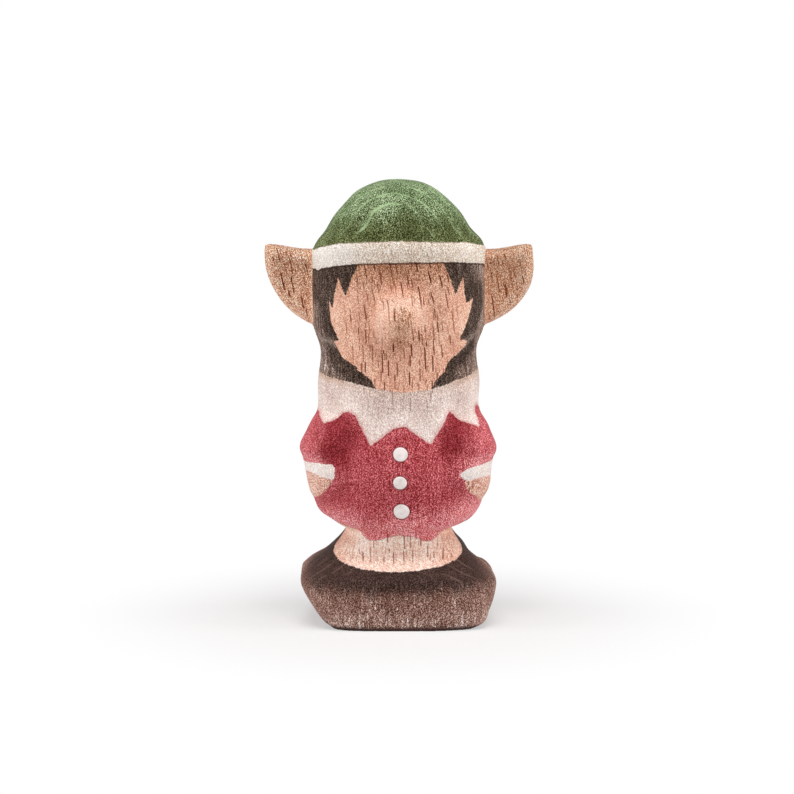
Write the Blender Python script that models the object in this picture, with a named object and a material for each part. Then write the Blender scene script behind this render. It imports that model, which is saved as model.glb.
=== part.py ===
"""Carved elf figurine in stained beech, 75 mm tall and 45 mm across the ears.

The figure is one block of wood, carved in the round from the sole up: broad
shoes, short legs in a notch, a tunic with both arms in relief, a collar, a
head with a round nose and two cupped ears, and a domed hat with a band.
Sizes are in millimetres. The front faces -Y and the sole stands on Z = 0.
"""
import math
from collections import namedtuple

import bmesh
import bpy

MM = 0.001

# Heights, stacked from the sole up
SHOE_HEIGHT = 12.0
LEG_HEIGHT = 4.0
TUNIC_HEIGHT = 20.7
COLLAR_HEIGHT = 5.9
HEAD_HEIGHT = 17.7
BAND_HEIGHT = 3.3
HAT_HEIGHT = 11.4

# Shoes: width, and reach from the middle to the front and to the back
SOLE_WIDTH = 24.4
SOLE_FRONT = 12.2
SOLE_BACK = 11.6
SHOE_WIDTH = 33.4
SHOE_FRONT = 13.2
SHOE_BACK = 12.8
SHOE_WIDEST_HEIGHT = 8.0
ANKLE_WIDTH = 24.4
ANKLE_FRONT = 9.6
ANKLE_BACK = 10.2

# The notch between shoes and tunic
NOTCH_WIDTH = 17.8
NOTCH_FRONT = 10.4
NOTCH_BACK = 10.2

# Tunic: the rounded skirt above the notch, the belly and the chest
SKIRT_WIDTH = 28.4
SKIRT_FRONT = 11.6
SKIRT_BACK = 12.6
SKIRT_ROUND = 4.8
BELLY_WIDTH = 25.0
BELLY_FRONT = 12.6
BELLY_BACK = 12.9
CHEST_WIDTH = 26.2
CHEST_FRONT = 11.4
CHEST_BACK = 12.7

# Collar and head
COLLAR_WIDTH = 27.2
COLLAR_FRONT = 10.6
COLLAR_BACK = 12.0
JAW_WIDTH = 26.4
JAW_FRONT = 10.4
JAW_BACK = 12.2
CHEEK_WIDTH = 29.2
CHEEK_FRONT = 10.6
CHEEK_BACK = 13.5
BROW_WIDTH = 28.8
BROW_FRONT = 10.4
BROW_BACK = 13.1

# Hat: the band narrows a little to the brim, then foot and middle of the dome, crown
BAND_TAPER = 0.4
BRIM_FRONT = 10.3
BRIM_BACK = 12.4
HAT_FOOT_WIDTH = 24.6
HAT_FOOT_FRONT = 10.0
HAT_FOOT_BACK = 11.5
DOME_WIDTH = 20.0
DOME_FRONT = 9.1
DOME_BACK = 9.8
CROWN_WIDTH = 12.8
CROWN_DEPTH = 12.4
BAND_RELIEF = 0.4
BAND_EDGE = 0.6

# Rise of a section for each millimetre towards the back: the collar dips in front,
# and the band and the hat are worn with the front raised
COLLAR_SLOPE = 0.2
JAW_SLOPE = 0.1
CHEEK_SLOPE = -0.05
BAND_SLOPE = -0.2
HAT_FOOT_SLOPE = -0.15
DOME_SLOPE = -0.1

# Nose, on the middle line of the face
NOSE_WIDTH = 11.0
NOSE_RIDGE = 7.2
NOSE_UNDERSIDE = 5.4
NOSE_REACH = 2.91
NOSE_ABOVE_CHIN = 9.9

# Arms: two lobes on the sides of the tunic
ELBOW_SPAN = 33.4
SHOULDER_SPAN = 29.6
WRIST_SPAN = 31.2
HAND_SPAN = 30.0
ARM_WIDTH = 10.0
ARM_DEPTH = 14.6
ARM_FORWARD = 3.4
ELBOW_BELOW_COLLAR = 7.2
ARM_LENGTH = 16.2
HAND_LENGTH = 4.5
FINGERTIP_SINK = 1.5
SHOULDER_SINK = 0.6
ARM_FILLET = 1.7
CUFF_HEIGHT = 2.6
CUFF_RELIEF = 0.3
CUFF_EDGE = 0.8

# Ears, each a cupped leaf that grows out of the side of the head
EAR_SPAN = 45.4
EAR_HEIGHT = 14.3
EAR_ABOVE_BROW = 3.7
EAR_TIP_HEIGHT = 2.0
EAR_TIP_ROUND = 0.7
EAR_TOP_DIP = 0.9
EAR_ROOT_DEPTH = 3.5
EAR_ROOT_THICKNESS = 6.4
EAR_TIP_THICKNESS = 3.4
EAR_CUP = 1.1
EAR_BEHIND_MIDDLE = 1.0

# Paint lines
SHOE_LINE_DIP = 2.5
COLLAR_POINTS = 8
COLLAR_POINT_LENGTH = 4.0

# Fineness of the mesh
SIDES = 60
RING_SPACING = 1.18
FRONT_SHARE = 0.32
EAR_ARC_POINTS = 13
EAR_LOOPS = (0.3, 0.55, 0.75, 0.88, 0.96)
EAR_FLAT_SHARE = 0.7
SHARP_ANGLE = math.radians(50)

# Stacked heights
HEM = SHOE_HEIGHT + LEG_HEIGHT
SHOULDER = HEM + TUNIC_HEIGHT
CHIN = SHOULDER + COLLAR_HEIGHT
BROW = CHIN + HEAD_HEIGHT
BRIM = BROW + BAND_HEIGHT
TOP = BRIM + HAT_HEIGHT

ELBOW = SHOULDER - ELBOW_BELOW_COLLAR
FINGERTIP = SHOULDER - ARM_LENGTH
WRIST = FINGERTIP + HAND_LENGTH
CUFF_TOP = WRIST + CUFF_HEIGHT
NOSE = CHIN + NOSE_ABOVE_CHIN

# Squareness of a section: 2 is an ellipse, larger is boxier
ROUND = 2.0
SOFT = 2.4
BOXY = 4.4

Station = namedtuple("Station", "height half front back square slope")
ArmStation = namedtuple("ArmStation", "height reach fullness")


def body_stations():
    """Sections of the block from the sole to the crown."""
    stations = []
    for share in (0.0, 0.12, 0.4):
        grow = math.sin(math.acos(1.0 - share))
        stations.append(Station(
            share * SHOE_WIDEST_HEIGHT,
            blend(SOLE_WIDTH, SHOE_WIDTH, grow) / 2,
            blend(SOLE_FRONT, SHOE_FRONT, grow),
            blend(SOLE_BACK, SHOE_BACK, grow), BOXY, 0.0))
    instep = blend(SHOE_WIDEST_HEIGHT, SHOE_HEIGHT, 0.55)
    stations += [
        Station(SHOE_WIDEST_HEIGHT, SHOE_WIDTH / 2, SHOE_FRONT, SHOE_BACK, BOXY, 0.0),
        Station(instep, blend(SHOE_WIDTH, ANKLE_WIDTH, 0.35) / 2,
                blend(SHOE_FRONT, ANKLE_FRONT, 0.6),
                blend(SHOE_BACK, ANKLE_BACK, 0.45), SOFT, 0.0),
        Station(SHOE_HEIGHT, ANKLE_WIDTH / 2, ANKLE_FRONT, ANKLE_BACK, SOFT, 0.0),
        Station(HEM, NOTCH_WIDTH / 2, NOTCH_FRONT, NOTCH_BACK, SOFT, 0.0),
        Station(HEM + 0.3 * SKIRT_ROUND, blend(NOTCH_WIDTH, SKIRT_WIDTH, 0.62) / 2,
                blend(NOTCH_FRONT, SKIRT_FRONT, 0.6),
                blend(NOTCH_BACK, SKIRT_BACK, 0.6), SOFT, 0.0),
        Station(HEM + SKIRT_ROUND, SKIRT_WIDTH / 2, SKIRT_FRONT, SKIRT_BACK, SOFT, 0.0),
        Station(blend(HEM, SHOULDER, 0.5), BELLY_WIDTH / 2, BELLY_FRONT, BELLY_BACK,
                SOFT, 0.0),
        Station(blend(HEM, SHOULDER, 0.85), CHEST_WIDTH / 2, CHEST_FRONT, CHEST_BACK,
                SOFT, 0.0),
        Station(blend(SHOULDER, CHIN, 0.6), COLLAR_WIDTH / 2, COLLAR_FRONT, COLLAR_BACK,
                SOFT, COLLAR_SLOPE),
        Station(blend(CHIN, BROW, 0.2), JAW_WIDTH / 2, JAW_FRONT, JAW_BACK,
                SOFT, JAW_SLOPE),
        Station(blend(CHIN, BROW, 0.5), CHEEK_WIDTH / 2, CHEEK_FRONT, CHEEK_BACK,
                SOFT, CHEEK_SLOPE),
        Station(BROW, BROW_WIDTH / 2, BROW_FRONT, BROW_BACK, SOFT, BAND_SLOPE),
        Station(BRIM, BROW_WIDTH / 2 - BAND_TAPER, BRIM_FRONT, BRIM_BACK, SOFT, BAND_SLOPE),
        Station(blend(BRIM, TOP, 0.24), HAT_FOOT_WIDTH / 2, HAT_FOOT_FRONT,
                HAT_FOOT_BACK, ROUND, HAT_FOOT_SLOPE),
        Station(blend(BRIM, TOP, 0.55), DOME_WIDTH / 2, DOME_FRONT, DOME_BACK,
                ROUND, DOME_SLOPE),
        Station(blend(BRIM, TOP, 0.85), CROWN_WIDTH / 2, CROWN_DEPTH / 2,
                CROWN_DEPTH / 2, ROUND, 0.0),
        Station(blend(BRIM, TOP, 0.965), CROWN_WIDTH / 4, CROWN_DEPTH / 4,
                CROWN_DEPTH / 4, ROUND, 0.0),
        Station(TOP, 0.0, 0.0, 0.0, ROUND, 0.0),
    ]
    return stations


def arm_stations():
    """Outer reach of an arm lobe from the fingertip up to the shoulder."""
    return [
        ArmStation(FINGERTIP, SKIRT_WIDTH / 2 - FINGERTIP_SINK, 0.55),
        ArmStation(blend(FINGERTIP, WRIST, 0.45), HAND_SPAN / 2, 0.8),
        ArmStation(WRIST, WRIST_SPAN / 2, 0.95),
        ArmStation(CUFF_TOP, blend(WRIST_SPAN, ELBOW_SPAN, 0.45) / 2, 0.98),
        ArmStation(ELBOW, ELBOW_SPAN / 2, 1.0),
        ArmStation(blend(ELBOW, SHOULDER, 0.6), SHOULDER_SPAN / 2, 0.85),
        ArmStation(SHOULDER, CHEST_WIDTH / 2 - SHOULDER_SINK, 0.6),
    ]


def blend(start, end, share):
    return start + (end - start) * share


def smooth_step(low, high, value):
    share = min(max((value - low) / (high - low), 0.0), 1.0)
    return share * share * (3.0 - 2.0 * share)


def smooth_largest(first, second, reach):
    """The larger of two values, with a fillet where they cross."""
    near = max(reach - abs(first - second), 0.0) / reach
    return max(first, second) + near * near * reach / 4


def end_slope(grade, neighbour):
    """Slope at a free end, from the last grade and the slope one knot in."""
    slope = 1.5 * grade - 0.5 * neighbour
    return slope if slope * grade > 0 else 0.0


def slopes(knots, values):
    """Slopes at the knots of a curve that never overshoots its points."""
    steps = [b - a for a, b in zip(knots, knots[1:])]
    grades = [(b - a) / step for a, b, step in zip(values, values[1:], steps)]
    inner = []
    for before, after in zip(grades, grades[1:]):
        product = before * after
        inner.append(2 * product / (before + after) if product > 0 else 0.0)
    return [end_slope(grades[0], inner[0])] + inner + [end_slope(grades[-1], inner[-1])]


def curve_value(knots, values, tangents, place):
    """Cubic curve through the values, read at a place between the knots."""
    index = 0
    while index < len(knots) - 2 and place > knots[index + 1]:
        index += 1
    step = knots[index + 1] - knots[index]
    share = min(max((place - knots[index]) / step, 0.0), 1.0)
    rest = 1.0 - share
    return (values[index] * (1 + 2 * share) * rest * rest
            + tangents[index] * step * share * rest * rest
            + values[index + 1] * share * share * (1 + 2 * rest)
            - tangents[index + 1] * step * share * share * rest)


class Profile:
    """Stations joined by smooth curves, read by a place along them."""

    def __init__(self, stations, knots):
        self.kind = type(stations[0])
        self.knots = knots
        self.columns = list(zip(*stations))
        self.tangents = [slopes(knots, column) for column in self.columns]

    def at(self, place):
        return self.kind(*(curve_value(self.knots, column, tangents, place)
                           for column, tangents in zip(self.columns, self.tangents)))


def body_profile():
    """Profile of the body by the distance walked up its side."""
    stations = body_stations()
    walked = [0.0]
    for low, high in zip(stations, stations[1:]):
        walked.append(walked[-1] + math.hypot(high.height - low.height,
                                              high.half - low.half))
    return Profile(stations, walked)


def section_radius(station, angle):
    """Distance from the middle to the outline of one section."""
    across = abs(math.cos(angle)) / station.half
    depth = station.back if math.sin(angle) > 0 else station.front
    along = abs(math.sin(angle)) / depth
    return (across ** station.square + along ** station.square) ** (-1 / station.square)


def arm_radius(arm, angle):
    """Far side of an arm lobe, an ellipse beside the body, or nothing."""
    half_width = ARM_WIDTH / 2
    half_depth = ARM_DEPTH / 2 * arm.fullness
    centre_x = arm.reach - half_width
    direction_x = abs(math.cos(angle)) / half_width
    direction_y = math.sin(angle) / half_depth
    offset_x = centre_x / half_width
    offset_y = -ARM_FORWARD / half_depth
    square = direction_x ** 2 + direction_y ** 2
    along = direction_x * offset_x + direction_y * offset_y
    inside = along ** 2 - square * (offset_x ** 2 + offset_y ** 2 - 1)
    if inside <= 0 or along <= 0:
        return 0.0
    return (along + math.sqrt(inside)) / square


def nose_reach(x, z):
    """How far the nose stands in front of the face."""
    fall = NOSE_RIDGE if z > NOSE else NOSE_UNDERSIDE
    away = (x / (NOSE_WIDTH / 2)) ** 2 + ((z - NOSE) / fall) ** 2
    return NOSE_REACH * max(1.0 - away, 0.0) ** 2


def band_relief(z_on_middle):
    """The band stands a little proud of the forehead and the hat."""
    half_edge = BAND_EDGE / 2
    rise = smooth_step(BROW - half_edge, BROW + half_edge, z_on_middle)
    fall = smooth_step(BRIM - half_edge, BRIM + half_edge, z_on_middle)
    return BAND_RELIEF * (rise - fall)


def cuff_relief(x, z):
    """The cuff is a low ring round the wrist."""
    if abs(x) < BELLY_WIDTH / 2 - ARM_WIDTH / 3:
        return 0.0
    half_edge = CUFF_EDGE / 2
    rise = smooth_step(WRIST - half_edge, WRIST + half_edge, z)
    fall = smooth_step(CUFF_TOP - half_edge, CUFF_TOP + half_edge, z)
    return CUFF_RELIEF * (rise - fall)


def body_point(station, arms, angle):
    """One point of the carved surface."""
    radius = section_radius(station, angle)
    if FINGERTIP < station.height < SHOULDER:
        arm = arm_radius(arms.at(station.height), angle)
        radius = smooth_largest(radius, arm, ARM_FILLET)
        radius += cuff_relief(radius * math.cos(angle), station.height)
    radius += band_relief(station.height)
    x = radius * math.cos(angle)
    y = radius * math.sin(angle)
    z = station.height + station.slope * y
    if y < 0:
        y -= nose_reach(x, z)
    return x, y, z


def ring_angles():
    """Directions round a ring, closer together on the front."""
    angles = []
    for step in range(SIDES):
        turn = 2 * math.pi * step / SIDES
        angles.append(turn - FRONT_SHARE * math.sin(turn) - math.pi / 2)
    return angles


def make_body():
    """The carved block as one closed mesh."""
    profile = body_profile()
    arms_list = arm_stations()
    arms = Profile(arms_list, [arm.height for arm in arms_list])
    length = profile.knots[-1]
    count = round(length / RING_SPACING)
    angles = ring_angles()
    work = bmesh.new()
    rings = []
    for index in range(count):
        station = profile.at(length * index / count)
        points = [body_point(station, arms, angle) for angle in angles]
        rings.append([work.verts.new([MM * value for value in point])
                      for point in points])
    crown = work.verts.new((0.0, 0.0, MM * TOP))
    for low, high in zip(rings, rings[1:]):
        for near, far in zip(range(-1, SIDES - 1), range(SIDES)):
            work.faces.new((low[near], low[far], high[far], high[near]))
    for near, far in zip(range(-1, SIDES - 1), range(SIDES)):
        work.faces.new((rings[-1][near], rings[-1][far], crown))
    work.faces.new(reversed(rings[0]))
    return finish_mesh(work, "elf_figurine")


def ear_outline():
    """Outline of an ear in the front view, from the root's foot round to its top."""
    root = BROW_WIDTH / 2 - EAR_ROOT_DEPTH
    top = BROW + EAR_ABOVE_BROW
    foot = top - EAR_HEIGHT
    centre_z = top - EAR_TIP_HEIGHT
    reach = EAR_SPAN / 2 - root
    points = []
    for step in range(EAR_ARC_POINTS):
        turn = math.radians(90) * step / (EAR_ARC_POINTS - 1)
        points.append((root + reach * math.sin(turn),
                       blend(centre_z, foot, math.cos(turn))))
    tip_x = EAR_SPAN / 2 - EAR_TIP_ROUND
    tip_z = top - EAR_TIP_ROUND
    for step in range(4):
        turn = math.radians(90) * step / 3
        points.append((tip_x + EAR_TIP_ROUND * math.cos(turn),
                       tip_z + EAR_TIP_ROUND * math.sin(turn)))
    for step in range(1, 7):
        share = step / 6
        points.append((blend(tip_x, root, share),
                       top - EAR_TOP_DIP * smooth_step(0.0, 0.6, share)))
    for step in range(1, 5):
        points.append((root, blend(top - EAR_TOP_DIP, foot, step / 5)))
    return points


def ear_point(point, middle, share, front):
    """A point on the ear's front or back, a share of the way to its rim."""
    x = blend(middle[0], point[0], share)
    z = blend(middle[1], point[1], share)
    root = BROW_WIDTH / 2
    along = (x - root) / (EAR_SPAN / 2 - root)
    thickness = blend(EAR_ROOT_THICKNESS, EAR_TIP_THICKNESS, min(max(along, 0.0), 1.0))
    beyond = max(share - EAR_FLAT_SHARE, 0.0) / (1 - EAR_FLAT_SHARE)
    y = thickness / 2 * math.sqrt(1 - beyond ** 2)
    if front:
        hollow = EAR_CUP * max(1 - (share / EAR_FLAT_SHARE) ** 2, 0.0)
        y = -(y - hollow)
    return x, y + EAR_BEHIND_MIDDLE, z


def make_ear(side):
    """One cupped ear, built of loops that shrink towards its middle."""
    outline = ear_outline()
    middle = (sum(x for x, _ in outline) / len(outline),
              sum(z for _, z in outline) / len(outline))
    work = bmesh.new()

    def vertex(point, share, front):
        x, y, z = ear_point(point, middle, share, front)
        return work.verts.new((MM * side * x, MM * y, MM * z))

    rim = [vertex(point, 1.0, True) for point in outline]
    for front in (True, False):
        loops = [[vertex(point, share, front) for point in outline]
                 for share in EAR_LOOPS] + [rim]
        hub = vertex(middle, 0.0, front)
        for inner, outer in zip(loops, loops[1:]):
            for near in range(len(outline)):
                work.faces.new((inner[near - 1], inner[near], outer[near], outer[near - 1]))
        for near in range(len(outline)):
            work.faces.new((loops[0][near], loops[0][near - 1], hub))
    name = "left_ear" if side > 0 else "right_ear"
    return finish_mesh(work, name)


def finish_mesh(work, name):
    """Turn the working mesh into an object with its faces pointing out."""
    bmesh.ops.recalc_face_normals(work, faces=work.faces)
    mesh = bpy.data.meshes.new(name)
    work.to_mesh(mesh)
    work.free()
    shape = bpy.data.objects.new(name, mesh)
    bpy.context.scene.collection.objects.link(shape)
    return shape


def join_ears(body):
    """Grow both ears out of the head, as one solid."""
    for side in (-1, 1):
        ear = make_ear(side)
        union = body.modifiers.new("union", "BOOLEAN")
        union.operation = "UNION"
        union.solver = "EXACT"
        union.object = ear
        bpy.context.view_layer.update()
        evaluated = body.evaluated_get(bpy.context.evaluated_depsgraph_get())
        joined = bpy.data.meshes.new_from_object(evaluated)
        body.modifiers.remove(union)
        body.data = joined
        bpy.data.objects.remove(ear)


PAINTS = {
    "bare_wood": (0.60, 0.32, 0.20),
    "shoe_brown": (0.15, 0.09, 0.07),
    "tunic_red": (0.40, 0.05, 0.06),
    "collar_white": (0.72, 0.60, 0.54),
    "hair_brown": (0.07, 0.045, 0.035),
    "hat_green": (0.08, 0.13, 0.05),
}


def sleeve_paint(x, y, z):
    """Paint between the hem and the collar: the tunic, the cuffs or a bare hand."""
    on_arm = abs(x) > BELLY_WIDTH / 2 - ARM_WIDTH / 4 and abs(y) < ARM_DEPTH / 2
    if on_arm and WRIST < z < CUFF_TOP:
        return "collar_white"
    if on_arm and blend(FINGERTIP, WRIST, 0.3) < z <= WRIST:
        return "bare_wood"
    return "tunic_red"


def head_paint(x, y, z):
    """Paint between the collar and the band: the bare face, or hair round it."""
    share_up = (z - CHIN) / HEAD_HEIGHT
    face_half_width = CHEEK_WIDTH / 2 * blend(0.45, 0.72, share_up)
    return "bare_wood" if y < 0 and abs(x) < face_half_width else "hair_brown"


def paint_name(x, y, z):
    """Which paint covers a place on the surface."""
    shoe_top = SHOE_HEIGHT - (SHOE_LINE_DIP if y < -ANKLE_FRONT / 2 else 0.0)
    point = math.cos(COLLAR_POINTS * math.atan2(x, -y))
    collar_foot = SHOULDER - COLLAR_POINT_LENGTH / 2 * (1 - point)
    if z < shoe_top:
        return "shoe_brown"
    if z < HEM:
        return "bare_wood"
    if z < collar_foot:
        return sleeve_paint(x, y, z)
    if z < CHIN + COLLAR_SLOPE * y:
        return "collar_white"
    if abs(x) > CHEEK_WIDTH / 2 + BAND_RELIEF:
        return "bare_wood"
    if z < BROW + BAND_SLOPE * y:
        return head_paint(x, y, z)
    return "collar_white" if z < BRIM + BAND_SLOPE * y else "hat_green"


def paint(body):
    """Give each face the paint of its place."""
    body.data.materials.clear()
    slots = {}
    for name, colour in PAINTS.items():
        material = bpy.data.materials.new(name)
        material.use_nodes = True
        shader = material.node_tree.nodes["Principled BSDF"]
        shader.inputs["Base Color"].default_value = (*colour, 1.0)
        shader.inputs["Roughness"].default_value = 0.65
        shader.inputs["Metallic"].default_value = 0.0
        slots[name] = len(slots)
        body.data.materials.append(material)
    for face in body.data.polygons:
        x, y, z = (value / MM for value in face.center)
        face.material_index = slots[paint_name(x, y, z)]


def main():
    for shape in list(bpy.data.objects):
        bpy.data.objects.remove(shape)
    body = make_body()
    join_ears(body)
    paint(body)
    body.data.shade_smooth()
    body.data.set_sharp_from_angle(angle=SHARP_ANGLE)


main()
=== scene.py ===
# %% [markdown]
# # A small wooden elf, stained and hand painted
#
# The real figure is one piece of beech, 75 mm tall. It was sawn from a board,
# carved and sanded round, then painted with thin stains that let the grain
# show through. So the lesson has three parts: make the carved surface smooth
# and a little uneven, find where each paint begins and ends, and build one
# material that is wood first and paint second.
#
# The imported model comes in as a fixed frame. It gives the true form and size,
# and everything below is fitted to it.

# %% Load the frame
import math

import bmesh
import bpy
import numpy as np
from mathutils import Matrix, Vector
from mathutils.bvhtree import BVHTree


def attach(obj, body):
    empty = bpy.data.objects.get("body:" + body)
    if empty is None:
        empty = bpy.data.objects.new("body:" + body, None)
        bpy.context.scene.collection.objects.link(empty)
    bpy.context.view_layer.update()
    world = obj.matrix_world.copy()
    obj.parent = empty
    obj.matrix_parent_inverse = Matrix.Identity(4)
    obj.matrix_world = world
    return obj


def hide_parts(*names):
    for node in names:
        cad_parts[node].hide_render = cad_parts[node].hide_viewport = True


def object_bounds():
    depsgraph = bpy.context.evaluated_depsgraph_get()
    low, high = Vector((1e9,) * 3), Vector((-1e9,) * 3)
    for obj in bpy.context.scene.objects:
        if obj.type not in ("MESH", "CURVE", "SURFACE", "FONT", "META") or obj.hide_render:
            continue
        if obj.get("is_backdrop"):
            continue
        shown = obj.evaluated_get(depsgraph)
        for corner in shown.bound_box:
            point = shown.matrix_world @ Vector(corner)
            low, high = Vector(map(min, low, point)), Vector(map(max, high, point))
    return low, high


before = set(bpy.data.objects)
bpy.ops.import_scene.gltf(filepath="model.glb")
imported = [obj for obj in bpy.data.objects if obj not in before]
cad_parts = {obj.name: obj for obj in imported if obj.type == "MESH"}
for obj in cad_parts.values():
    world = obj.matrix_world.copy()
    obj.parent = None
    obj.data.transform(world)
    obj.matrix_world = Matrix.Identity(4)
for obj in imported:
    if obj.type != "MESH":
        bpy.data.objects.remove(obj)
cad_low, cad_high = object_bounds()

MM = 0.001
scene = bpy.context.scene
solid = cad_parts["elf_figurine"]


def new_object(name, data):
    made = bpy.data.objects.new(name, data)
    scene.collection.objects.link(made)
    return made


def print_box(title, low, high):
    print(title, "in mm:", [round(value / MM, 2) for value in (*low, *high)])


print_box("frame box", cad_low, cad_high)

# %% [markdown]
# ## The camera
#
# The photograph was taken from the front and a little above, from far enough
# away that upright edges stay upright. The camera comes first here, because
# the outlines of the paint are read off the picture: a place in the picture is
# a line of sight, and where that line meets the wood is where the brush went.
# Aiming the camera at a point near the middle of the figure keeps the lens
# shift at zero.

# %% Camera
PICTURE_SIZE = 794
PIXELS_PER_MM = 5.9
CAMERA_DISTANCE = 600.0
CAMERA_ELEVATION = math.radians(7.5)
AIM_HEIGHT = 37.96
AIM_ACROSS = -0.26
SENSOR_WIDTH = 36.0

camera_data = bpy.data.cameras.new("camera")
camera = new_object("camera", camera_data)
aim = np.array([AIM_ACROSS, 0.0, AIM_HEIGHT])
forward = np.array([0.0, math.cos(CAMERA_ELEVATION), -math.sin(CAMERA_ELEVATION)])
rightward = np.array([1.0, 0.0, 0.0])
upward = np.cross(rightward, forward)
eye = aim - CAMERA_DISTANCE * forward
field_width = PICTURE_SIZE / PIXELS_PER_MM
camera_data.sensor_width = SENSOR_WIDTH
camera_data.lens = SENSOR_WIDTH * CAMERA_DISTANCE / field_width
camera_data.clip_start = 0.01
camera_data.clip_end = 20.0
camera.location = [MM * value for value in eye]
camera.rotation_euler = (math.radians(90) - CAMERA_ELEVATION, 0.0, 0.0)
scene.camera = camera
print("lens", round(camera_data.lens, 1), "mm, field", round(field_width, 1), "mm wide")


# %% [markdown]
# ## The carved surface
#
# On the real figure the knife marks were sanded away, so the surface is smooth
# but never quite even. The frame's mesh is loose triangles a millimetre long.
# A copy of it is merged, and a voxel remesh gives it an even net of small
# faces that can carry fine form. Subdivision would keep the long thin
# triangles round the ears, and a remesh doesn't.

# %% A fine, even net
VOXEL = 0.335


def merged_copy(source, name):
    """A copy of a frame mesh with its triangles joined at their corners."""
    work = bmesh.new()
    work.from_mesh(source.data)
    bmesh.ops.remove_doubles(work, verts=work.verts, dist=0.001 * MM)
    mesh = bpy.data.meshes.new(name)
    work.to_mesh(mesh)
    work.free()
    return new_object(name, mesh)


def settle_modifiers(piece):
    """Turn what the modifiers make into the piece's own plain mesh."""
    bpy.context.view_layer.update()
    evaluated = piece.evaluated_get(bpy.context.evaluated_depsgraph_get())
    mesh = bpy.data.meshes.new_from_object(evaluated)
    piece.modifiers.clear()
    piece.data = mesh
    return mesh


elf = merged_copy(solid, "carved_elf")
remesh = elf.modifiers.new("even net", "REMESH")
remesh.mode = "VOXEL"
remesh.voxel_size = VOXEL * MM
mesh = settle_modifiers(elf)
print("net:", len(mesh.vertices), "points,", len(mesh.polygons), "faces")


# %% [markdown]
# The net is now handled as arrays of numbers, because every later step, from
# sanding to painting, is one formula for all the points at once. Sanding moves
# each point towards the mean of its neighbours, which also shrinks the figure
# and blunts the ears. So each pass is followed by a push the other way that is
# a little larger: it gives back the broad form, and only the fine facets go.
# The sole is held flat, as on the real one, which was sawn and not carved.

# %% Sand the surface
SAND_ROUNDS = 18
SAND_IN = 0.5
SAND_OUT = -0.53


def read_vectors(mesh, kind):
    flat = np.empty(3 * len(mesh.vertices))
    mesh.vertices.foreach_get(kind, flat)
    return flat.reshape(-1, 3)


def write_points(mesh, points):
    mesh.vertices.foreach_set("co", (points * MM).ravel())
    mesh.update()


edges = np.empty(2 * len(mesh.edges), dtype=np.int64)
mesh.edges.foreach_get("vertices", edges)
edges = edges.reshape(-1, 2)
neighbours = np.bincount(edges.ravel(), minlength=len(mesh.vertices))


def neighbour_mean(values):
    """Mean of each point's neighbours, for numbers or for places."""
    total = np.zeros_like(values)
    np.add.at(total, edges[:, 0], values[edges[:, 1]])
    np.add.at(total, edges[:, 1], values[edges[:, 0]])
    return total / (neighbours if values.ndim == 1 else neighbours[:, None])


def relax(values, rounds):
    for _ in range(rounds):
        values = 0.5 * values + 0.5 * neighbour_mean(values)
    return values


points = read_vectors(mesh, "co") / MM
on_sole = points[:, 2] < 0.5 * VOXEL
for _ in range(SAND_ROUNDS):
    for push in (SAND_IN, SAND_OUT):
        points = points + push * (neighbour_mean(points) - points)
points[on_sole, 2] = 0.0
write_points(mesh, points)
print("sanded, box in mm:", points.min(0).round(2), points.max(0).round(2))

# %% [markdown]
# ## Where the paint goes
#
# The painter worked freehand, so no edge is a straight line, and the collar's
# points are all different. Each outline below is a short list of places in
# the picture, in its own pixels. A line of sight through each place finds the
# point on the wood. The back can't be seen, so there each line goes on with a
# few places given as an angle round the figure and a height.
#
# All of this is kept on an unrolled label: how far round, times a mean radius,
# and how high. On the label, how deep a point lies inside an outline is plain
# geometry.

# %% Lines of sight
LABEL_RADIUS = 13.0


def tree_of(places):
    """A search tree of the net's faces, for lines of sight and nearest points."""
    return BVHTree.FromPolygons([Vector(p) for p in places],
                                [tuple(f.vertices) for f in mesh.polygons])


surface_tree = tree_of(points)


def seen_point(across_px, down_px):
    """The point on the wood that shows at a pixel of the picture."""
    half = PICTURE_SIZE / 2
    across = (across_px - half) / PIXELS_PER_MM
    up = (half - down_px) / PIXELS_PER_MM
    sight = CAMERA_DISTANCE * forward + across * rightward + up * upward
    sight = sight / np.linalg.norm(sight)
    hit = surface_tree.ray_cast(Vector(eye), Vector(sight))[0]
    if hit is None:
        beside = eye + sight * CAMERA_DISTANCE
        hit = surface_tree.find_nearest(Vector(beside))[0]
    return np.array(hit)


def on_label(places):
    """Points of the surface as places on the unrolled label."""
    places = np.atleast_2d(places)
    turn = np.arctan2(places[:, 0], -places[:, 1])
    return np.column_stack([turn * LABEL_RADIUS, places[:, 2]])


def seen_outline(pixels):
    return [tuple(on_label(seen_point(*pixel))[0]) for pixel in pixels]


def behind(degrees, height):
    """A place on the label that the picture doesn't show."""
    return (math.radians(degrees) * LABEL_RADIUS, height)


NOSE_MIDDLE = (398, 318)
print("tip of the nose in mm:", seen_point(*NOSE_MIDDLE).round(1))


# %% [markdown]
# Two tools read the label. One gives the distance to the nearest stretch of an
# outline, and one tells which side a point is on, by counting how many edges
# a line to the left of it crosses.

# %% Distances on the label
def distance_to(outline, places):
    nearest = np.full(len(places), np.inf)
    for start, end in zip(outline, outline[1:]):
        start, along = np.array(start), np.subtract(end, start)
        share = np.clip((places - start) @ along / max(along @ along, 1e-9), 0.0, 1.0)
        away = np.linalg.norm(places - start - share[:, None] * along, axis=1)
        nearest = np.minimum(nearest, away)
    return nearest


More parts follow.
